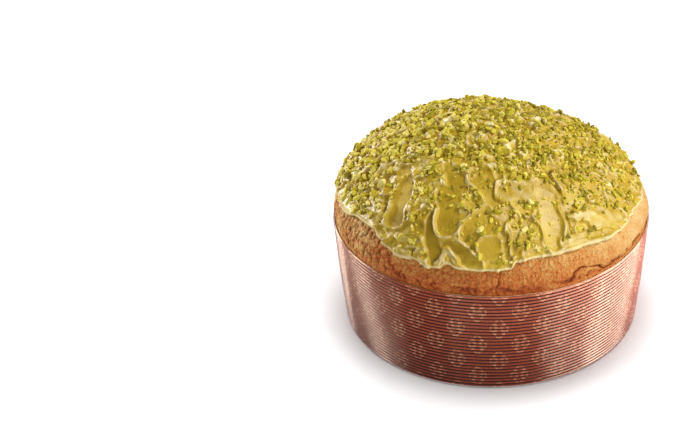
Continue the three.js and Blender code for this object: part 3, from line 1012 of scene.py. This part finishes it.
high_up = smoothstep(32, 60, angle)
left_side = smoothstep(-138, -158, azimuth) + smoothstep(150, 170, azimuth)
right_side = smoothstep(-60, -35, azimuth) * smoothstep(150, 60, azimuth)
crowd = np.maximum(high_up * (1 - 0.4 * left_side), 0.6 * left_side * smoothstep(20, 34, angle))
crowd = np.maximum(crowd, 0.65 * right_side * smoothstep(22, 34, angle))
drift = 0.5 + 1.3 * uneven(places, 7 * MM, 12.4)
chance = (0.54 + 0.4 * crowd) * np.clip(drift + 0.3 * crowd, 0.12, 1) * (1 - bare)
chance *= 1 - 0.6 * np.clip(crest, 0, 1)
clear_edge = smoothstep(edge_angle(azimuth) + 1, edge_angle(azimuth) + 4, angle)
kept = draw_many.random(chip_count) < chance * clear_edge
azimuth, angle, places = azimuth[kept], angle[kept], places[kept]
left_side, right_side = left_side[kept], right_side[kept]
print(len(azimuth), "chips stay of", chip_count)

# %% Join the chips by where they lie
usual_half, half_spread = 1.75, 0.42
smallest_half, largest_half = 0.7, 3.6
skin_share = 0.045
draw = random.Random(31)
ups = dome_normals(azimuth, angle)
sizes = draw_many.lognormal(math.log(usual_half), half_spread, len(azimuth))
sizes = np.clip(sizes, smallest_half, largest_half) * (1 + 0.25 * left_side - 0.12 * right_side)
tints = np.clip(draw_many.normal(0.5, 0.32, len(azimuth)), 0.08, 1)
skins = draw_many.random(len(azimuth)) < skin_share
# Chips on the left are paler, partly a coat of cream and partly painted highlight, and chips on the right are
# darker as painted shade.
tints = np.clip(tints + 0.16 * left_side - 0.2 * right_side, 0.1, 1)
tints[skins] = draw_many.uniform(0, 0.06, skins.sum())


def chip_group(low_turn, high_turn):
    bm = bmesh.new()
    shades = []
    for index in np.flatnonzero((azimuth >= low_turn) & (azimuth < high_turn)):
        size = sizes[index] * MM
        lift = draw.uniform(-0.4, 0.5) * size
        shape = chips[draw.randrange(len(chips))].copy()
        place = Vector(places[index]) + Vector(ups[index]) * lift
        shape.transform(lying(place, ups[index], size, draw))
        bm.from_mesh(shape)
        shades += [tints[index]] * len(shape.vertices)
        bpy.data.meshes.remove(shape)
    mesh = new_mesh(bm, "chips")
    paint(mesh, "tint", shades)
    return mesh


for name, low_turn, high_turn in (
    ("left", -180, -120),
    ("front", -120, -60),
    ("right", -60, 0),
    ("back_right", 0, 90),
    ("back_left", 90, 180),
):
    mesh = chip_group(low_turn, high_turn)
    finish_piece("strewn_pistachio_" + name, mesh, nut_finish, smooth=False)
    print(name, triangles(mesh), "triangles")

# %% [markdown]
# ## Floor, light and camera
#
# The panettone stands on a plain white floor that fades into a white surround. A small key light, high on the
# right, gives nuts and strokes their short shadows. Three low windows light the loaf and its icing but not
# the mould, because its glossy ribs need lights of their own: strips at the places that they mirror as bright
# bands, and a broad fill in front. Light linking keeps the groups apart, and one light overhead gives the
# floor a soft contact shadow. Reflections don't see the floor. They see the surround below the horizon, which
# is brighter behind, and that gives the sheen along the mould's two sides. The lens is a short telephoto,
# shifted so that the panettone stands right of centre, and the camera looks down at it.

# %% Floor
white_floor = new_material(
    "white_floor", Roughness=0.7, Base_Color=colour("#e8e8e8"),
    Emission_Color=colour("#ffffff"), Emission_Strength=0.15,
)[0]

bm = bmesh.new()
bmesh.ops.create_grid(bm, x_segments=1, y_segments=1, size=4)
floor_mesh = new_mesh(bm, "floor")
floor_mesh.materials.append(white_floor)
floor = bpy.data.objects.new("floor", floor_mesh)
floor.location.z = -0.05 * MM
bpy.context.scene.collection.objects.link(floor)
floor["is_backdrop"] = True
floor.visible_glossy = False

# %% Lights
centre = Vector((0, 0, 0.7 * rim_height))


def soft_light(name, azimuth, elevation, distance, width, height, power):
    """A soft light of a width and a height that faces the panettone from an azimuth and an elevation."""
    data = bpy.data.lights.new(name, "AREA")
    data.shape = "RECTANGLE"
    data.size = width
    data.size_y = height
    data.energy = power
    light = bpy.data.objects.new(name, data)
    turn, lift = math.radians(azimuth), math.radians(elevation)
    toward = Vector((math.cos(turn) * math.cos(lift), math.sin(turn) * math.cos(lift), math.sin(lift)))
    light.location = centre + toward * distance
    light.rotation_euler = toward.to_track_quat("Z", "Y").to_euler()
    bpy.context.scene.collection.objects.link(light)
    return light


object_lights = [soft_light("key", 3, 52, 1.6, 0.3, 0.3, 18)]
loaf_lights = [
    soft_light("front_window", -65, 25, 1.6, 0.6, 0.6, 7.5),
    soft_light("right_window", -15, 15, 1.3, 0.8, 0.4, 6),
    soft_light("left_window", 150, 17, 1.3, 0.4, 0.25, 18),
]
mould_lights = [
    soft_light("right_strip", 6, 14, 1.2, 1.2, 0.4, 17),
    soft_light("front_right_strip", -28, 25, 1.2, 0.9, 0.6, 10),
    soft_light("front_fill", -85, 55, 1.5, 1.6, 1.0, 14),
    soft_light("left_strip", 140, 2, 1.2, 0.7, 0.15, 3),
    soft_light("front_left_strip", 178, 14, 1.2, 1.4, 0.12, 6),
]
for light in mould_lights:
    light.data.color = colour("#ffe4cc")[:3]
floor_lights = [soft_light("floor_light", 75, 86, 1.5, 1.0, 1.0, 38)]


def shine_only_on(lights, name, pieces):
    """Light linking: these lights reach these pieces and nothing else."""
    receivers = bpy.data.collections.new(name)
    for piece in pieces:
        receivers.objects.link(piece)
    for light in lights:
        light.light_linking.receiver_collection = receivers


pieces = [piece for piece in bpy.context.scene.objects if piece.type == "MESH" and piece != floor]
shine_only_on(object_lights, "panettone_only", pieces)
shine_only_on(loaf_lights, "loaf_only", [piece for piece in pieces if piece != mould_wall])
shine_only_on(mould_lights, "mould_only", [mould_wall])
shine_only_on(floor_lights, "floor_only", [floor])

world = bpy.data.worlds.new("white_surround")
bpy.context.scene.world = world
world.use_nodes = True
tree = world.node_tree
way = add_node(tree, "TexCoord", output="Generated")
way = add_node(tree, "SeparateXYZ", {"Vector": way}, output=None)
behind = add_node(tree, "MapRange", {"Value": way["Y"], "From Min": 0.0, "From Max": 0.5, "To Max": 0.8})
below = add_node(tree, "Math", {0: way["Z"], 1: 0.0}, operation="LESS_THAN")
glow = add_node(tree, "Math", {0: behind, 1: below, 2: 0.15}, operation="MULTIPLY_ADD")
background = tree.nodes["Background"]
background.inputs["Color"].default_value = colour("#ffffff")
tree.links.new(glow, background.inputs["Strength"])

# %% Camera
camera_data = bpy.data.cameras.new("camera")
camera_data.lens = 75
camera_data.sensor_width = 36
camera_data.shift_x = -0.219
camera_data.shift_y = 0.0277
camera = bpy.data.objects.new("camera", camera_data)
tilt = math.radians(32.6)
stand_off = 0.961
camera.location = centre + Vector((0, -math.cos(tilt), math.sin(tilt))) * stand_off
camera.rotation_euler = (math.radians(90) - tilt, 0, 0)
bpy.context.scene.collection.objects.link(camera)
bpy.context.scene.camera = camera
bpy.context.scene.view_settings.view_transform = "Standard"

# %% The sizes of the construction and the surface
surface_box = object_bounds()
sizes = {
    "construction": [list(corner) for corner in construction_box],
    "surface": [list(corner) for corner in surface_box],
}
print("surface box in mm:", [[round(x / MM, 1) for x in corner] for corner in surface_box])
